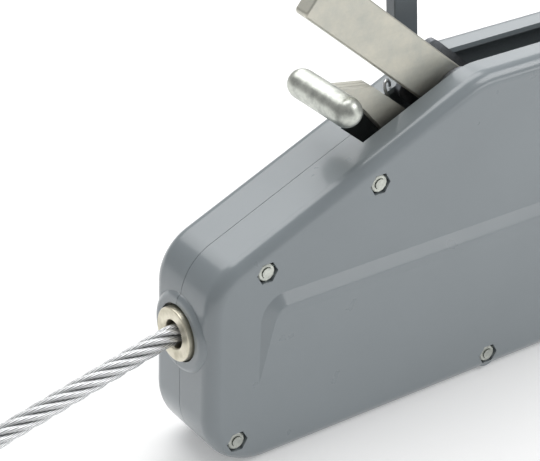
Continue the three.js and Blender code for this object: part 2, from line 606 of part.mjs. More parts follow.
// ---------------------------------------------------------------- free rope and hank
// The rope leaves the nose, sinks to the ground and is folded up there. Points are [x, y, z].
const RUN_ROUTE = [
  [5.7, 0, 81], [-5, 0, 80.8], [-17, 0, 78.6], [-38, 0, 73.4], [-62, 0, 67.7], [-85, 0, 62],
  [-108, 0, 56.2], [-132, -1.5, 49.4], [-157, -6, 40.6], [-181, -12.5, 30.6], [-204, -20, 20.6],
  [-226, -27.5, 12.2], [-243, -32.5, 7.6], [-256.4, -35, 6],
];
const hankHalf = HANK.acrossTurns * ROPE_D / 2;
const hankTop = HANK.layers * ROPE_D;
const endY = HANK.y + HANK.mid;

function ropeTube(points, steps) {
  const curve = new THREE.CatmullRomCurve3(points.map((p) => new THREE.Vector3(...p)), false, 'centripetal');
  const circle = new THREE.Shape().absarc(0, 0, ROPE_D / 2, 0, 2 * Math.PI);
  return toSolid(new THREE.ExtrudeGeometry(circle, { steps, extrudePath: curve, curveSegments: 5 }));
}

// Outer shape of all the turns: a long ring with round ends.
function ropeHank() {
  const reach = HANK.straight / 2;
  const oval = (radius) => barShape([-reach, 0], [reach, 0], 2 * radius);
  const outer = plate(oval(HANK.mid + hankHalf), 0, hankTop);
  const inner = plate(oval(HANK.mid - hankHalf), -1, hankTop + 1);
  return outer.subtract(inner).rotate([90, 0, 0]).translate(HANK.x, HANK.y, 0);
}

// Last stretch: off the top of the hank, through the ferrule, round the thimble and back.
const EYE_WRAP = 124;              // degrees of the eye on each side of its crown
function endRoute() {
  const rise = [[-43, 65.4, 71.8], [-35, 60.5, 75.2], [-26, 53.5, 77.9]]
    .map(([dx, dy, z]) => [HANK.x + dx, HANK.y + dy, z]);
  const round = EYE.inner + EYE.web + GAP + ROPE_D / 2;
  const loop = [];
  for (let k = 0; k <= 12; k += 1) {
    const a = rad(EYE_WRAP * (k / 6 - 1));
    loop.push([EYE.x + round * Math.cos(a), endY + round * Math.sin(a), END_Z]);
  }
  const side = ROPE_D / 2 + 0.25;
  const inward = [-71, -54, -37].map((dx) => [EYE.x + dx, endY - side, END_Z]);
  const back = [-37, -54, -69].map((dx) => [EYE.x + dx, endY + side, END_Z]);
  return [...rise, ...inward, ...loop, ...back];
}

add('rope_run', ropeTube(RUN_ROUTE, 26), ROPE_STEEL);
add('rope_hank', ropeHank(), ROPE_STEEL);
add('rope_end', ropeTube(endRoute(), 44), ROPE_STEEL);

// ---------------------------------------------------------------- fittings on the rope's end
// They are drawn upright, in the XZ plane round the middle of the eye, and laid flat in place.
const layFlat = (solid) => solid.rotate([-90, 0, 0]).translate(EYE.x, endY, END_Z);

function dropShape(radius) {
  const shape = new THREE.Shape().absarc(0, 0, radius, -rad(EYE_WRAP), rad(EYE_WRAP));
  shape.lineTo(-radius / Math.cos(rad(180 - EYE_WRAP)), 0);
  return shape;
}

function thimble() {
  const d = EYE.depth / 2;
  const outer = EYE.inner + EYE.web;
  const flange = dropShape(outer + EYE.flange);
  return plate(dropShape(outer), -d, d).add(plate(flange, -d, 1.2 - d)).add(plate(flange, d - 1.2, d))
    .subtract(plate(dropShape(EYE.inner), -d - 1, d + 1));
}

function ferrule() {
  const to = -38;
  const from = to - EYE.ferrule;
  const spread = ROPE_D / 2 + 0.25;
  const lobes = [-spread, spread].map((z) => rod('X', ROPE_D / 2 + 3.4, from, to, [0, z], 16));
  const bores = [-spread, spread].map((z) => rod('X', ROPE_D / 2 + 0.9, from - 1, to + 1, [0, z], 12));
  return lobes[0].add(lobes[1]).subtract(bores[0]).subtract(bores[1]);
}

// Load hook with a clevis that straddles the thimble.
const CLEVIS = { reach: 21, width: 20, plate: 4.4, block: 8 };
const lugIn = EYE.depth / 2 + 0.4;
const lugOut = lugIn + CLEVIS.plate;
const clevisBack = EYE.pinX + CLEVIS.reach + CLEVIS.block;
const loadHookX = clevisBack + 8 + HOOK.bowl;

function loadHook() {
  const { width } = CLEVIS;
  const lugShape = barShape([EYE.pinX, 0], [clevisBack - width / 2, 0], width, width / 2, 2);
  const lugs = plate(lugShape, -lugOut, lugOut)
    .subtract(box(-60, clevisBack - CLEVIS.block, -lugIn, lugIn, -40, 40));
  return lugs.subtract(rod('Y', EYE.pin + 0.25, -40, 40, [EYE.pinX, 0], 20))
    .add(forgedHook(-HOOK.bowl - 9).translate(loadHookX, 0, 0));
}

add('rope_ferrule', layFlat(ferrule()), ZINC);
add('rope_thimble', layFlat(thimble()), ZINC);
add('rope_hook', layFlat(loadHook()), FORGED);
add('rope_hook_pin', layFlat(rod('Y', EYE.pin, -lugOut, lugOut, [EYE.pinX, 0], 20)), STEEL);
add('rope_hook_latch', layFlat(hookLatch().translate(loadHookX, 0, 0)), ZINC);

export default puller;
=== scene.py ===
# Looks of the wire rope puller: camera, rope, casing, levers, fittings and their materials.
# Metres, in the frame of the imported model: +X from the rope outlet to the anchor end, +Z up.
import json
import math

import bmesh
import bpy
from mathutils import Matrix, Vector


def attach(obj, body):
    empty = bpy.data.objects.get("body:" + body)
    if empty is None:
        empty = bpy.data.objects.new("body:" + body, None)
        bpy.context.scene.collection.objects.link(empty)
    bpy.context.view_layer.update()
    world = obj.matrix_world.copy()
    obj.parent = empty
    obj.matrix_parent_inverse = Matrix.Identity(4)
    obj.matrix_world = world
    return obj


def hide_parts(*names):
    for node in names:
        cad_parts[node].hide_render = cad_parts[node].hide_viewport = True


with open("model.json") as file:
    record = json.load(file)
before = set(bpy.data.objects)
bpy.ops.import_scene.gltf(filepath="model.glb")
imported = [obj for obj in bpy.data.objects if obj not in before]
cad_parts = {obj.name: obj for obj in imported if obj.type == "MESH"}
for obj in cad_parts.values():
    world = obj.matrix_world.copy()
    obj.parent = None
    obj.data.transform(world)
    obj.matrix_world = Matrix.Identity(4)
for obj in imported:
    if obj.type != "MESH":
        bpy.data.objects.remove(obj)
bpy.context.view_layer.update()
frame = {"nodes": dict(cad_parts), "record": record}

MM = 0.001
NOSE_X = -250.0                     # the nose plane, in millimetres of the row frame
NODES = frame["nodes"]


def at(x, y, z):
    """Row-frame point in metres of a point in millimetres measured from the nose plane."""
    return Vector(((x + NOSE_X) * MM, y * MM, z * MM))


# ---------------------------------------------------------------- shader helpers
class Shader:
    """A Principled material built up from a few procedural layers."""

    def __init__(self, name, color, roughness, metallic=0.0, coat=0.0):
        self.material = bpy.data.materials.new(name)
        self.material.use_nodes = True
        self.tree = self.material.node_tree
        self.base = self.tree.nodes["Principled BSDF"]
        self.base.inputs["Base Color"].default_value = (*color, 1)
        self.base.inputs["Roughness"].default_value = roughness
        self.base.inputs["Metallic"].default_value = metallic
        self.base.inputs["Coat Weight"].default_value = coat
        self.base.inputs["Coat Roughness"].default_value = 0.12
        self.coords = self.node("ShaderNodeTexCoord")
        self.last_normal = None

    def node(self, kind, **settings):
        made = self.tree.nodes.new(kind)
        for key, value in settings.items():
            setattr(made, key, value)
        return made

    def link(self, source, target):
        self.tree.links.new(source, target)

    def stretched(self, scale, turn=(0, 0, 0), output="Object"):
        mapping = self.node("ShaderNodeMapping")
        mapping.inputs["Scale"].default_value = scale
        mapping.inputs["Rotation"].default_value = turn
        self.link(self.coords.outputs[output], mapping.inputs["Vector"])
        return mapping.outputs["Vector"]

    def noise(self, vector, scale, detail=3.0, roughness=0.5):
        made = self.node("ShaderNodeTexNoise")
        made.inputs["Scale"].default_value = scale
        made.inputs["Detail"].default_value = detail
        made.inputs["Roughness"].default_value = roughness
        self.link(vector, made.inputs["Vector"])
        return made.outputs["Fac"]

    def waves(self, vector, scale, direction="X", distortion=0.0, profile="SIN"):
        made = self.node("ShaderNodeTexWave", bands_direction=direction, wave_profile=profile)
        made.inputs["Scale"].default_value = scale
        made.inputs["Distortion"].default_value = distortion
        self.link(vector, made.inputs["Vector"])
        return made.outputs["Fac"]

    def spread(self, value, low, high, from_low=0.3, from_high=0.7):
        made = self.node("ShaderNodeMapRange")
        made.inputs["From Min"].default_value = from_low
        made.inputs["From Max"].default_value = from_high
        made.inputs["To Min"].default_value = low
        made.inputs["To Max"].default_value = high
        self.link(value, made.inputs["Value"])
        return made.outputs["Result"]

    def tint(self, value, dark, light, from_low=0.3, from_high=0.7):
        """Base colour between two colours by a value."""
        ramp = self.node("ShaderNodeValToRGB")
        ramp.color_ramp.elements[0].position = from_low
        ramp.color_ramp.elements[1].position = from_high
        ramp.color_ramp.elements[0].color = (*dark, 1)
        ramp.color_ramp.elements[1].color = (*light, 1)
        self.link(value, ramp.inputs["Fac"])
        self.link(ramp.outputs["Color"], self.base.inputs["Base Color"])
        return self

    def roughen(self, value, low, high):
        self.link(self.spread(value, low, high, 0.1, 0.9), self.base.inputs["Roughness"])
        return self

    def bump(self, value, depth, strength=1.0):
        made = self.node("ShaderNodeBump")
        made.inputs["Distance"].default_value = depth
        made.inputs["Strength"].default_value = strength
        self.link(value, made.inputs["Height"])
        if self.last_normal:
            self.link(self.last_normal, made.inputs["Normal"])
        self.last_normal = made.outputs["Normal"]
        self.link(self.last_normal, self.base.inputs["Normal"])
        return self


def enamel(name, color, peel, roughness, coat):
    """Sprayed enamel: faint orange peel and slight cloudiness."""
    s = Shader(name, color, roughness, metallic=0.0, coat=coat)
    flat = s.stretched((1, 1, 1))
    cloud = s.noise(flat, 14, detail=5, roughness=0.6)
    s.tint(cloud, tuple(c * 0.93 for c in color), tuple(c * 1.07 for c in color), 0.1, 0.9)
    s.roughen(s.noise(flat, 55, detail=4), roughness - 0.06, roughness + 0.08)
    s.bump(s.noise(flat, peel, detail=2), 0.00004, 0.25)
    return s.material


def galvanised(name, dark, light, turn):
    """Zinc with cloudy spangle and fine lengthwise draw lines."""
    s = Shader(name, light, 0.38, metallic=0.82)
    flat = s.stretched((1, 1, 1))
    along = s.stretched((12, 900, 900), turn)
    cloud = s.noise(flat, 70, detail=7, roughness=0.72)
    s.tint(cloud, dark, light, 0.15, 0.85)
    s.roughen(s.noise(along, 1.0, detail=4), 0.3, 0.52)
    s.bump(s.noise(along, 1.0, detail=3), 0.00008, 0.4)
    s.bump(s.noise(flat, 520, detail=3), 0.00008, 0.4)
    return s.material


def bright_plate(name, dark, light, roughness):
    """Bright zinc plate with slight stains."""
    s = Shader(name, light, roughness, metallic=0.95)
    flat = s.stretched((1, 1, 1))
    s.tint(s.noise(flat, 160, detail=5, roughness=0.65), dark, light, 0.3, 0.6)
    s.roughen(s.noise(flat, 240, detail=4), roughness - 0.08, roughness + 0.14)
    s.bump(s.noise(flat, 700, detail=2), 0.00005, 0.4)
    return s.material


def turned(name, dark, light):
    """Turned and plated: fine rings round the X axis."""
    s = Shader(name, light, 0.3, metallic=0.9)
    rings = s.waves(s.stretched((1, 0.02, 0.02)), 900, "X", 0.4)
    s.tint(s.noise(s.stretched((1, 1, 1)), 130, detail=4), dark, light, 0.3, 0.62)
    s.roughen(s.noise(s.stretched((400, 20, 20)), 1.0, detail=2), 0.22, 0.42)
    s.bump(rings, 0.00004, 0.35)
    return s.material


def oiled_steel(name, dark, light):
    """Bare steel with an oil film and mill scale."""
    s = Shader(name, light, 0.42, metallic=0.85)
    flat = s.stretched((1, 1, 1))
    s.tint(s.noise(flat, 60, detail=7, roughness=0.7), dark, light, 0.34, 0.64)
    s.roughen(s.noise(flat, 130, detail=4), 0.3, 0.6)
    s.bump(s.noise(flat, 900, detail=3), 0.00006, 0.5)
    return s.material


def forging(name, dark, light):
    """Painted forging with a coarse skin."""
    s = Shader(name, light, 0.5, metallic=0.1, coat=0.2)
    flat = s.stretched((1, 1, 1))
    s.tint(s.noise(flat, 80, detail=6, roughness=0.7), dark, light, 0.35, 0.65)
    s.roughen(s.noise(flat, 150, detail=3), 0.38, 0.62)
    s.bump(s.noise(flat, 260, detail=5), 0.0003, 0.6)
    return s.material


WIRES = 11                          # outer wires of a strand
WIRE_TURNS = 2.2                    # turns of the wires in one lay, so that they lie along the rope


def rope_wire(name, dark, light):
    """Bright wires laid round each strand, with painted shade darkening the grooves between the wires; the UV map runs
    along (U, in lays) and round (V) the strand.
    """
    s = Shader(name, light, 0.36, metallic=0.85)
    turned_uv = s.stretched((1, 1, 1), output="UV")
    shear = s.node("ShaderNodeSeparateXYZ")
    s.link(turned_uv, shear.inputs["Vector"])
    mix = s.node("ShaderNodeMath", operation="MULTIPLY_ADD")
    s.link(shear.outputs["X"], mix.inputs[0])
    mix.inputs[1].default_value = WIRE_TURNS
    s.link(shear.outputs["Y"], mix.inputs[2])
    times = s.node("ShaderNodeMath", operation="MULTIPLY")
    s.link(mix.outputs[0], times.inputs[0])
    times.inputs[1].default_value = WIRES * 2 * math.pi
    sine = s.node("ShaderNodeMath", operation="SINE")
    s.link(times.outputs[0], sine.inputs[0])
    height = s.spread(sine.outputs[0], 0, 1, -1, 1)
    # painted shade: the colour runs from the light colour on the wire crests down to the dark colour in the grooves
    # between the wires
    s.tint(height, dark, light, 0.1, 0.55)
    s.bump(height, 0.0002, 0.8)
    return s.material


MATERIALS = {
    "casing_paint": enamel("grey enamel", (0.200, 0.228, 0.244), 170, 0.3, 0.5),
    "dark_paint": enamel("dark grey enamel", (0.105, 0.122, 0.134), 240, 0.42, 0.2),
    "lever_zinc": galvanised("galvanised lever", (0.40, 0.415, 0.385), (0.62, 0.59, 0.50), (0, 0, 0)),
    "bright_zinc": bright_plate("bright zinc", (0.33, 0.345, 0.32), (0.58, 0.60, 0.55), 0.34),
    "bush_zinc": turned("turned zinc", (0.46, 0.43, 0.33), (0.74, 0.70, 0.58)),
    "inner_steel": oiled_steel("oiled steel", (0.10, 0.11, 0.125), (0.30, 0.31, 0.33)),
    "forged_steel": forging("painted forging", (0.06, 0.068, 0.075), (0.12, 0.13, 0.14)),
    "spring_steel": bright_plate("spring wire", (0.35, 0.36, 0.37), (0.6, 0.61, 0.62), 0.3),
    # rope wire: the darker colour is painted shade for the grooves between the wires
    "rope_wire": rope_wire("rope wire", (0.34, 0.345, 0.35), (0.84, 0.85, 0.86)),
}
for part in frame["record"]["subparts"]:
    mesh = NODES[part["node"]].data
    mesh.materials.clear()
    mesh.materials.append(MATERIALS[part["material_slot"]])


# ---------------------------------------------------------------- camera, floor and light
VIEW = {
    "azimuth": -36.472, "elevation": 30.245, "roll": 2.088,     # degrees
    "place": (-471.0, -712.0, 641.0),                           # millimetres from the nose
    "lens": 130.33,
}


def make_camera():
    a, e, r = (math.radians(VIEW[k]) for k in ("azimuth", "elevation", "roll"))
    back = Vector((math.sin(a) * math.cos(e), -math.cos(a) * math.cos(e), math.sin(e)))
    level = Vector((math.cos(a), math.sin(a), 0))
    upright = back.cross(level)
    right = math.cos(r) * level + math.sin(r) * upright
    up = -math.sin(r) * level + math.cos(r) * upright
    data = bpy.data.cameras.new("camera")
    data.lens = VIEW["lens"]
    data.sensor_width = 36
    data.clip_end = 20
    camera = bpy.data.objects.new("camera", data)
    turn = Matrix((right, up, back)).transposed().to_4x4()
    camera.matrix_world = Matrix.Translation(at(*VIEW["place"])) @ turn
    bpy.context.scene.collection.objects.link(camera)
    bpy.context.scene.camera = camera


make_camera()


FLOOR_GLOW = 0.22                    # keeps the floor white where the lamps don't reach


def make_floor():
    mesh = bpy.data.meshes.new("floor")
    half = 6.0
    corners = [(-half, -half, 0), (half, -half, 0), (half, half, 0), (-half, half, 0)]
    mesh.from_pydata(corners, [], [(0, 1, 2, 3)])
    floor = bpy.data.objects.new("floor", mesh)
    bpy.context.scene.collection.objects.link(floor)
    s = Shader("pale floor", (0.82, 0.82, 0.82), 0.9)
    s.base.inputs["Emission Color"].default_value = (1, 1, 1, 1)
    s.base.inputs["Emission Strength"].default_value = FLOOR_GLOW
    s.bump(s.noise(s.stretched((1, 1, 1)), 40, detail=2), 0.0002, 0.1)
    mesh.materials.append(s.material)


def area_light(name, place, target, size, power, colour=(1, 1, 1)):
    data = bpy.data.lights.new(name, "AREA")
    data.shape = "RECTANGLE"
    data.size, data.size_y = size
    data.energy = power
    data.color = colour
    light = bpy.data.objects.new(name, data)
    light.location = place
    light.rotation_mode = "QUATERNION"
    light.rotation_quaternion = (Vector(place) - Vector(target)).to_track_quat("Z", "Y")
    bpy.context.scene.collection.objects.link(light)


def make_light():
    world = bpy.data.worlds.new("studio")
    world.use_nodes = True
    world.node_tree.nodes["Background"].inputs["Color"].default_value = (1, 1, 1, 1)
    world.node_tree.nodes["Background"].inputs["Strength"].default_value = 0.4
    bpy.context.scene.world = world
    area_light("key", (1.05, -1.0, 1.55), (0, 0, 0.1), (1.2, 0.9), 14)
    area_light("top", (0.0, 0.6, 2.3), (0, 0, 0.15), (2.0, 1.4), 30)
    area_light("back", (-0.1, 1.9, 2.0), (0, 0, 0.15), (2.4, 1.0), 19)
    area_light("rim", (1.1, 1.5, 1.2), (0, 0, 0.15), (1.6, 0.8), 7)
    area_light("low", (1.1, -1.85, 0.5), (0, 0, 0.1), (0.9, 0.5), 4)


make_floor()
make_light()
bpy.context.scene.view_settings.view_transform = "Standard"


# ---------------------------------------------------------------- mesh helpers
def mesh_object(name, verts, faces, material, uvs=None):
    mesh = bpy.data.meshes.new(name)
    mesh.from_pydata([tuple(v) for v in verts], [], faces)
    mesh.materials.append(material)
    if uvs is not None:
        layer = mesh.uv_layers.new(name="UVMap")
        layer.data.foreach_set("uv", [c for uv in uvs for c in uv])
    made = bpy.data.objects.new(name, mesh)
    bpy.context.scene.collection.objects.link(made)
    return made


def smooth(obj, degrees=35):
    """Smooth shading with hard edges kept where faces turn by more than the angle."""
    obj.data.polygons.foreach_set("use_smooth", [True] * len(obj.data.polygons))
    obj.data.set_sharp_from_angle(angle=math.radians(degrees))
    modifier = obj.modifiers.new("weighted", "WEIGHTED_NORMAL")
    modifier.keep_sharp = True
    return obj


def combine(obj, other, operation):
    """Boolean of two closed objects; the second one is used up."""
    modifier = obj.modifiers.new("cut", "BOOLEAN")
    modifier.operation = operation
    modifier.solver = "MANIFOLD"
    modifier.object = other
    shaped = bpy.data.meshes.new_from_object(obj.evaluated_get(bpy.context.evaluated_depsgraph_get()))
    obj.modifiers.clear()
    obj.data = shaped
    bpy.data.objects.remove(other)
    return obj


def rounded_outline(corners, inset=0.0, step=3.0):
    """Closed outline with rounded corners [x, z, radius], listed anticlockwise, sides moved in by inset."""
    count = len(corners)
    points = [Vector(c[:2]) for c in corners]

    def side(i):
        start = points[i % count]
        along = (points[(i + 1) % count] - start).normalized()
        return start + Vector((-along.y, along.x)) * inset, along

    outline = []
    for i, (_, _, radius) in enumerate(corners):
        (p, d), (q, e) = side(i + count - 1), side(i)
        cross = d.x * e.y - d.y * e.x
        gap = q - p
        corner = p + d * ((gap.x * e.y - gap.y * e.x) / cross)
        turn = math.copysign(1, cross)
        curve = max(radius - turn * inset, 0.0)
        angle = math.acos(max(-1, min(1, d.dot(e))))
        start = corner - d * curve * math.tan(angle / 2)
        centre = start + Vector((-d.y, d.x)) * turn * curve
        steps = max(1, round(math.degrees(angle) / step)) if radius > 0.05 else 0
        for k in range(steps + 1):
            a = turn * angle * k / max(steps, 1)
            arm = start - centre
            cos, sin = math.cos(a), math.sin(a)
            outline.append(centre + Vector((arm.x * cos - arm.y * sin, arm.x * sin + arm.y * cos)))
    return outline


def layered(name, rings, material):
    """Closed solid through rings of equal length; each ring is (outline of x, z; y), in millimetres."""
    count = len(rings[0][0])
    verts = [at(p.x, y, p.y) for outline, y in rings for p in outline]
    faces = [tuple(range(count))]
    for r in range(len(rings) - 1):
        low, high = r * count, (r + 1) * count
        faces += [(low + i, high + i, high + (i + 1) % count, low + (i + 1) % count) for i in range(count)]
    faces.append(tuple(reversed(range((len(rings) - 1) * count, len(rings) * count))))
    made = mesh_object(name, verts, faces, material)
    bm = bmesh.new()
    bm.from_mesh(made.data)
    bmesh.ops.recalc_face_normals(bm, faces=bm.faces)
    bm.to_mesh(made.data)
    bm.free()
    return made


def slab(name, corners, y0, y1, material, bevel=0.0, depth=None, steps=8, arc=3.0):
    """Plate between two values of y with its edges rounded by bevel."""
    depth = bevel if depth is None else depth
    rings = []
    turns = [math.radians(90 * k / steps) for k in range(steps + 1)] if bevel else [0]
    for start, sign, order in ((y0, 1, turns), (y1, -1, list(reversed(turns)))):
        for t in order:
            outline = rounded_outline(corners, bevel * (1 - math.sin(t)), arc)
            rings.append((outline, start + sign * depth * (1 - math.cos(t))))
    return layered(name, rings, material)


def bar_corners(start, end, width, r_start=None, r_end=None):
    a, b = Vector(start), Vector(end)
    along = (b - a).normalized()
    across = Vector((-along.y, along.x)) * width / 2
    tail, head = a - along * width / 2, b + along * width / 2
    r0 = min(width / 2 if r_start is None else r_start, width / 2 - 0.05)
    r1 = min(width / 2 if r_end is None else r_end, width / 2 - 0.05)
    return [(*(tail + across), r0), (*(tail - across), r0), (*(head - across), r1), (*(head + across), r1)]


def spun(name, profile, centre, axis, material, sides=96):
    """Body of revolution. The profile is a closed list of (distance along the axis, radius), millimetres."""
    verts, faces = [], []
    count = len(profile)
    for k in range(sides):
        a = 2 * math.pi * k / sides
        for d, r in profile:
            u, v = r * math.cos(a), r * math.sin(a)
            place = {"X": (d, centre[0] + u, centre[1] + v), "Y": (centre[0] + u, d, centre[1] + v),
                     "Z": (centre[0] + u, centre[1] + v, d)}[axis]
            verts.append(at(*place))
    for k in range(sides):
        low, high = k * count, ((k + 1) % sides) * count
        faces += [(low + i, low + (i + 1) % count, high + (i + 1) % count, high + i) for i in range(count)]
    made = mesh_object(name, verts, faces, material)
    bm = bmesh.new()
    bm.from_mesh(made.data)
    bmesh.ops.remove_doubles(bm, verts=bm.verts, dist=1e-7)
    bmesh.ops.recalc_face_normals(bm, faces=bm.faces)
    bm.to_mesh(made.data)
    bm.free()
    return made


def rod(axis, radius, low, high, centre, sides=64):
    profile = [(low, 0), (low, radius), (high, radius), (high, 0)]
    return spun("rod", profile, centre, axis, MATERIALS["casing_paint"], sides)


def block(x0, x1, y0, y1, z0, z1):
    corners = [(x0, z0, 0), (x1, z0, 0), (x1, z1, 0), (x0, z1, 0)]
    return slab("block", corners, y0, y1, MATERIALS["casing_paint"])


# ---------------------------------------------------------------- rope
ROPE_D = 11.0
ROPE_Z = 81.0
LAY = 68.0                          # length in which a strand goes once round
STRANDS = 6
STRAND_R = 1.73                     # radius of a strand
CORE_R = 2.1
HANK = {"x": -381.5, "y": 39.0, "straight": 165.0, "mid": 52.5, "across": 5, "layers": 6}
EYE = {"x": HANK["x"] + 55, "y": HANK["y"] + HANK["mid"], "z": 78.6, "radius": 21.6, "wrap": 124.0}
OUTER_TURN = HANK["mid"] + (HANK["across"] - 1) * ROPE_D / 2
RUN_ROUTE = [
    (5.7, 0, 81), (-5, 0, 80.8), (-17, 0, 78.6), (-38, 0, 73.4), (-62, 0, 67.7), (-85, 0, 62),
    (-108, 0, 56.2), (-132, -1.5, 49.4), (-157, -6, 40.6), (-181, -12.5, 30.6), (-204, -20, 20.6), (-226, -27.5, 12.2),
    (-243, -32.5, 7.6), (-256.4, -35, 6), (-278, -35.5, 5.6),
]
RISE = [(-70, 74, 61.6), (-58, 71.5, 65.2), (-46, 67, 70.3), (-35, 60.5, 75.2), (-26, 53.5, 77.9)]


def on_turn(angle, radius):
    """Point of a turn with round ends: 90 degrees of angle for each straight and for each end."""
    phase = (angle % 360) / 90
    reach, straight = HANK["straight"] / 2, HANK["straight"]
    if phase < 1:
        return HANK["x"] + reach - straight * phase, HANK["y"] - radius
    if phase < 2:
        phi = math.radians(-90 - 180 * (phase - 1))
        return HANK["x"] - reach + radius * math.cos(phi), HANK["y"] + radius * math.sin(phi)
    if phase < 3:
        return HANK["x"] - reach + straight * (phase - 2), HANK["y"] + radius
    phi = math.radians(90 - 180 * (phase - 3))
    return HANK["x"] + reach + radius * math.cos(phi), HANK["y"] + radius * math.sin(phi)


def hank_points():
    """Turns that lie a diameter apart, stepping in or out once a turn and up once a layer."""
    step_at, stagger, width, turn = 345.0, 40.0, 30.0, 360.0
    events = []
    for layer in range(HANK["layers"]):
        first = step_at + layer * (HANK["across"] * turn - stagger)
        outward = -1 if layer % 2 == 0 else 1
        events += [(first + k * turn, outward, 0) for k in range(HANK["across"] - 1)]
        if layer < HANK["layers"] - 1:
            events.append((first + (HANK["across"] - 1) * turn - stagger / 2, 0, 1))
    end = 180 + turn * math.ceil((events[-1][0] + width / 2 - 180) / turn)
    points = []
    for k in range(1, round(end / 10) + 1):
        radius, height = OUTER_TURN, ROPE_D / 2
        for centre, outward, lift in events:
            t = max(0.0, min(1.0, (10 * k - centre) / width + 0.5))
            ease = t * t * (3 - 2 * t)
            radius += outward * ROPE_D * ease
            height += lift * ROPE_D * ease
        points.append((*on_turn(10 * k - 0.001, radius), height))
    return points


def end_points():
    side = ROPE_D / 2 + 0.25
    points = [(HANK["x"] + dx, HANK["y"] + dy, z) for dx, dy, z in RISE]
    points += [(EYE["x"] + dx, EYE["y"] - side, EYE["z"]) for dx in (-71, -54, -37)]
    for k in range(25):
        a = math.radians(EYE["wrap"] * (k / 12 - 1))
        across, sideways = EYE["radius"] * math.cos(a), EYE["radius"] * math.sin(a)
        points.append((EYE["x"] + across, EYE["y"] + sideways, EYE["z"]))
    points += [(EYE["x"] + dx, EYE["y"] + side, EYE["z"]) for dx in (-37, -54, -69)]
    return points


def even_line(points, gap):
    """Catmull-Rom line through the points, resampled to even steps of about gap."""
    pts = [Vector(p) for p in points]
    dense = []
    for i in range(len(pts) - 1):
        p0, p1, p2, p3 = pts[max(i - 1, 0)], pts[i], pts[i + 1], pts[min(i + 2, len(pts) - 1)]
        pieces = max(2, int((p2 - p1).length / (gap * 0.5)))
        for k in range(pieces):
            t = k / pieces
            dense.append(0.5 * ((2 * p1) + (p2 - p0) * t + (2 * p0 - 5 * p1 + 4 * p2 - p3) * t * t
                                + (3 * p1 - p0 - 3 * p2 + p3) * t * t * t))
    dense.append(pts[-1])
    lengths = [0.0]
    for a, b in zip(dense, dense[1:]):
        lengths.append(lengths[-1] + (b - a).length)
    steps = round(lengths[-1] / gap)
    line, j = [], 0
    for k in range(steps + 1):
        want = lengths[-1] * k / steps
        while j < len(lengths) - 2 and lengths[j + 1] < want:
            j += 1
        span = lengths[j + 1] - lengths[j]
        line.append(dense[j].lerp(dense[j + 1], (want - lengths[j]) / span if span else 0))
    return line, lengths[-1]


def carried_frames(line):
    """A pair of cross directions at each point, carried along without twist."""
    last = len(line) - 1
    tangents = [(line[min(i + 1, last)] - line[max(i - 1, 0)]).normalized() for i in range(last + 1)]
    side = tangents[0].cross(Vector((0, 0, 1))).normalized()
    frames = []
    for t in tangents:
        side = (side - t * side.dot(t)).normalized()
        frames.append((side, t.cross(side)))
    return frames


def laid_rope(name, line, travelled, sides):
    """Six strands laid round a core, as one mesh. U counts lays, V goes round each strand."""
    frames = carried_frames(line)
    lays = [t / LAY for t in travelled]
    verts, faces, uvs = [], [], []
    for s in range(STRANDS + 1):
        is_core = s == STRANDS
        ring = 0 if is_core else ROPE_D / 2 - STRAND_R
        radius = CORE_R if is_core else STRAND_R
        base = len(verts)
        for p, (side, over), lay in zip(line, frames, lays):
            a = 2 * math.pi * (s / STRANDS + lay)
            out = math.cos(a) * side + math.sin(a) * over
            turn = -math.sin(a) * side + math.cos(a) * over
            centre = p + out * ring
            for k in range(sides):
                b = 2 * math.pi * k / sides
                verts.append(centre + radius * (math.cos(b) * out + math.sin(b) * turn))
        for i in range(len(line) - 1):
            for k in range(sides):
                n = (k + 1) % sides
                low, high = base + i * sides, base + (i + 1) * sides
                faces.append((low + k, low + n, high + n, high + k))
                u0, u1 = lays[i], lays[i + 1]
                v0, v1 = k / sides, (k + 1) / sides
                uvs += [(u0, v0), (u0, v1), (u1, v1), (u1, v0)]
        for ring_start, flip in ((base, False), (base + (len(line) - 1) * sides, True)):
            cap = [ring_start + k for k in range(sides)]
            faces.append(tuple(cap if flip else reversed(cap)))
            uvs += [(0, 0)] * sides
    return mesh_object(name, [at(*v) for v in verts], faces, MATERIALS["rope_wire"], uvs)


def smooth_all(obj):
    obj.data.polygons.foreach_set("use_smooth", [True] * len(obj.data.polygons))


FINE_STEP = 1.5                     # spacing of the sections near the casing
FINE_LENGTH = 360.0                 # length that is made with that spacing
COARSE = 4                          # beyond it, one section in so many is kept


def make_rope():
    route = RUN_ROUTE + hank_points() + end_points()
    fine, total = even_line(route, FINE_STEP)
    step = total / (len(fine) - 1)
    near = round(FINE_LENGTH / step)
    kept = list(range(near)) + list(range(near, len(fine) - 1, COARSE)) + [len(fine) - 1]
    line = [fine[i] for i in kept]
    rope = laid_rope("rope", line, [i * step for i in kept], 12)
    smooth_all(rope)
    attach(rope, "casing")
    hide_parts("rope_run", "rope_hank", "rope_end")
    inside = [(x, 0, ROPE_Z) for x in range(6, 535, 8)]
    taut, length = even_line(inside, 2 * FINE_STEP)
    core = laid_rope("rope_through", taut, [length * i / (len(taut) - 1) for i in range(len(taut))], 12)
    smooth_all(core)
    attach(core, "casing")
    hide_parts("rope_in_casing")
    return total


make_rope()


# ---------------------------------------------------------------- casing
CASING = {"length": 500.0, "half": 27.0, "wall": 3.0, "fillet": 8.0, "top": 195.5, "nose_top": 120.0,
          "nose_slope": 23.75, "rear_top_x": 330.0, "rear_slope": 24.5}
SLOT = {"front": 106.5, "rear": 345.0, "half": 9.7}
PANEL = {"height": 3.2, "bevel": 8.0, "crease": 92.0, "fade": 48.0}
SCREWS = [(19, 19), (35, 119), (106, 150), (196, 11), (350, 11), (481, 19), (466, 117), (410, 143)]
POCKET = {"across": 11.4, "depth": 5.6}
SHAFTS = {"reverse": (171.0, 145.0, 6.3), "anchor": (470.0, 58.0, 9.3)}


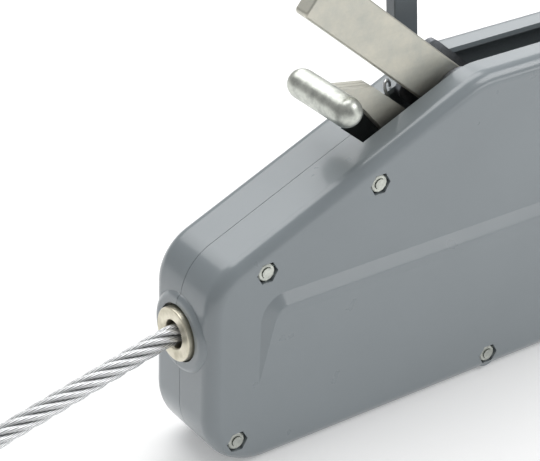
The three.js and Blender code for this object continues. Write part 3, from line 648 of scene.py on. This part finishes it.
def casing_corners():
    crown = (CASING["top"] - CASING["nose_top"]) / math.tan(math.radians(CASING["nose_slope"]))
    run_out = CASING["length"] - CASING["rear_top_x"]
    rear = CASING["top"] - run_out * math.tan(math.radians(CASING["rear_slope"]))
    return [
        (0, 0, 38), (CASING["length"], 0, 38), (CASING["length"], rear, 30),
        (CASING["rear_top_x"], CASING["top"], 45), (crown, CASING["top"], 45),
        (0, CASING["nose_top"], 30),
    ]


def prism_x(points, x0, x1):
    """Closed prism along X over an outline of (y, z)."""
    count = len(points)
    verts = [at(x, y, z) for x in (x0, x1) for y, z in points]
    faces = [tuple(range(count)), tuple(reversed(range(count, 2 * count)))]
    faces += [(i, count + i, count + (i + 1) % count, (i + 1) % count) for i in range(count)]
    made = mesh_object("prism", verts, faces, MATERIALS["casing_paint"])
    bm = bmesh.new()
    bm.from_mesh(made.data)
    bmesh.ops.recalc_face_normals(bm, faces=bm.faces)
    bm.to_mesh(made.data)
    bm.free()
    return made


def side_panel(side):
    corners = [(31, 8, 10), (440, 8, 10), (440, 105, 16), (365, 105, 10), (341, 168, 14), (252, 168, 14),
               (228, 105, 10), (31, 105, 16)]
    half, height = CASING["half"], PANEL["height"]
    outer, inner = half + height, half - CASING["wall"] / 2
    low, high = (inner - 4, outer) if side > 0 else (-outer, 4 - inner)
    depth, bevel = height + 0.4, PANEL["bevel"]
    edge = [(bevel + 1.4, 0), (bevel + 0.4, 0.1), (bevel - 0.5, 0.35), (0, depth)]
    outlines = [rounded_outline(corners, inset, 3) for inset, _ in edge]
    rings = [(outline, low + drop) for outline, (_, drop) in zip(outlines, edge)]
    rings += [(outline, high - drop) for outline, (_, drop) in reversed(list(zip(outlines, edge)))]
    field = layered("panel", rings, MATERIALS["casing_paint"])
    wedge = [(inner - 6, 20), (inner, 20), (half - 0.4, PANEL["fade"] - 2), (outer + 0.01, PANEL["crease"]),
             (outer + 0.01, 200), (inner - 6, 200)]
    return combine(field, prism_x([(side * y, z) for y, z in wedge], 0, CASING["length"]), "INTERSECT")


def end_boss(face, out):
    profile = [(face - out * 12, 0), (face - out * 12, 23)]
    for k in range(13):
        t = math.radians(90 * k / 12)
        profile.append((face + out * (-1.6 + 3.8 * math.sin(t)), 19 + 4 * math.cos(t)))
    profile.append((face + out * 2.2, 0))
    return spun("boss", profile, (0, ROPE_Z), "X", MATERIALS["casing_paint"])


def casing_body():
    half, wall = CASING["half"], CASING["wall"]
    paint = MATERIALS["casing_paint"]
    body = slab("casing", casing_corners(), -half, half, paint, CASING["fillet"], steps=10, arc=2)
    for extra in (end_boss(0, -1), end_boss(CASING["length"], 1), side_panel(1), side_panel(-1)):
        combine(body, extra, "UNION")
    hollow = slab_inset("hollow", casing_corners(), wall, half - wall, CASING["fillet"] - wall)
    combine(body, hollow, "DIFFERENCE")
    for place in SCREWS:
        combine(body, rod("Y", 8.5, 1 - half, half - 1, place, 32), "UNION")
    for place in SCREWS:
        combine(body, rod("Y", 3.3, -half - 1, half + 1, place, 24), "DIFFERENCE")
        for low, high in ((-half - 1, POCKET["depth"] - half), (half - POCKET["depth"], half + 1)):
            combine(body, rod("Y", POCKET["across"] / math.sqrt(3), low, high, place, 6), "DIFFERENCE")
    combine(body, block(SLOT["front"], SLOT["rear"], -SLOT["half"], SLOT["half"], 120, 220), "DIFFERENCE")
    for low, high in ((-20, 14), (CASING["length"] - 14, CASING["length"] + 20)):
        combine(body, rod("X", 16.3, low, high, (0, ROPE_Z + 0.3), 96), "DIFFERENCE")
    for name, (x, z, radius) in SHAFTS.items():
        combine(body, rod("Y", radius, 10 if name == "reverse" else -60, 60, (x, z)), "DIFFERENCE")
    return body


def slab_inset(name, corners, inset, half, bevel, steps=4):
    rings = []
    turns = [math.radians(90 * k / steps) for k in range(steps + 1)]
    for sign, order in ((-1, turns), (1, list(reversed(turns)))):
        for t in order:
            outline = rounded_outline(corners, inset + bevel * (1 - math.sin(t)), 4)
            rings.append((outline, sign * (half - bevel * (1 - math.cos(t)))))
    return layered(name, rings, MATERIALS["casing_paint"])


def make_casing():
    body = casing_body()
    spare = bpy.data.objects.new("casing_far_skin", body.data.copy())
    bpy.context.scene.collection.objects.link(spare)
    body.name = "casing_near_skin"
    for half, node, y0, y1 in ((body, "casing_near", -80, 0.6), (spare, "casing_far", 0.9, 80)):
        combine(half, block(-60, 560, y0, y1, -20, 260), "INTERSECT")
        smooth(half, 10.5)
        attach(half, "casing")
        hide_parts(node)


make_casing()


# ---------------------------------------------------------------- bushes
def bush_profile(face, out):
    """Closed outline of (x, radius): flange behind the wall, rim outside it and a rounded mouth."""
    bore, rim, proud = 7.8, 15.0, 5.2
    behind, flange = face - out * 3.6, 18.5
    points = [(face - out * 9, bore), (face - out * 9, flange), (behind, flange), (behind, rim)]
    for k in range(7):
        t = math.radians(15 * k)
        points.append((face + out * (proud - 0.8 + 0.8 * math.sin(t)), rim - 0.8 + 0.8 * math.cos(t)))
    for k in range(9):
        t = math.radians(90 * k / 8)
        points.append((face + out * (proud - 1.6 + 1.6 * math.cos(t)), bore + 1.6 - 1.6 * math.sin(t)))
    return points


def make_bush(node, face, out):
    made = spun(node + "_turned", bush_profile(face, out), (0, ROPE_Z), "X", MATERIALS["bush_zinc"], 128)
    smooth(made, 40)
    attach(made, "casing")
    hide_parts(node)


make_bush("rope_bush_nose", 0.0, -1)
make_bush("rope_bush_rear", CASING["length"], 1)


# ---------------------------------------------------------------- levers and grip
CRANK_AT = (231.4, 128.0)
LEVER = {"reach": 200.3, "width": 26.2, "thickness": 10.0, "lean": 50.5}


def along_lever(radius):
    a = math.radians(90 + LEVER["lean"])
    return CRANK_AT[0] + radius * math.cos(a), CRANK_AT[1] + radius * math.sin(a)


def make_lever():
    width = LEVER["width"]
    corners = bar_corners(CRANK_AT, along_lever(LEVER["reach"] - width / 2), width, None, 2.5)
    half = LEVER["thickness"] / 2
    lever = slab("forward_lever_bar", corners, -half, half, MATERIALS["lever_zinc"], 1.1, steps=5, arc=4)
    for distance in (46, 76):
        combine(lever, rod("Y", 3.3, -20, 20, along_lever(distance), 32), "DIFFERENCE")
    combine(lever, rod("Y", 9.25, -20, 20, CRANK_AT), "DIFFERENCE")
    smooth(lever, 30)
    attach(lever, "forward_crank")
    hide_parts("forward_lever")


def make_grip():
    radius, span, place = 8.3, 18.8, (87.0, 194.0)
    profile = [(-span - radius, 0)]
    for k in range(1, 13):
        t = math.radians(90 * k / 12)
        profile.append((-span - radius * math.cos(t), radius * math.sin(t)))
    for k in range(12, -1, -1):
        t = math.radians(90 * k / 12)
        profile.append((span + radius * math.cos(t), radius * math.sin(t)))
    grip = spun("release_grip_bar", profile, place, "Y", MATERIALS["bright_zinc"], 64)
    smooth(grip, 50)
    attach(grip, "release_lever")
    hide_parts("release_grip")


make_lever()
make_grip()


# ---------------------------------------------------------------- release spring
def swept(name, points, radius, material, sides=14, gap=0.8):
    """Round wire along a smooth line through the points."""
    line, _ = even_line(points, gap)
    verts, faces = [], []
    for (side, over), p in zip(carried_frames(line), line):
        for k in range(sides):
            a = 2 * math.pi * k / sides
            verts.append(at(*(p + radius * (math.cos(a) * side + math.sin(a) * over))))
    for i in range(len(line) - 1):
        low, high = i * sides, (i + 1) * sides
        faces += [(low + k, low + (k + 1) % sides, high + (k + 1) % sides, high + k) for k in range(sides)]
    faces += [tuple(reversed(range(sides))), tuple(range((len(line) - 1) * sides, len(line) * sides))]
    made = mesh_object(name, verts, faces, material)
    smooth_all(made)
    return made


def make_release_spring():
    points = [(146, 6.6, 160), (140, 7.2, 172), (134.5, 7.9, 182), (134, 8.8, 186.2), (136.5, 9.9, 187.3),
              (139, 10.8, 184.8), (139.6, 11.2, 182.6)]
    wire = swept("release_spring", points, 0.95, MATERIALS["spring_steel"])
    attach(wire, "casing")


make_release_spring()
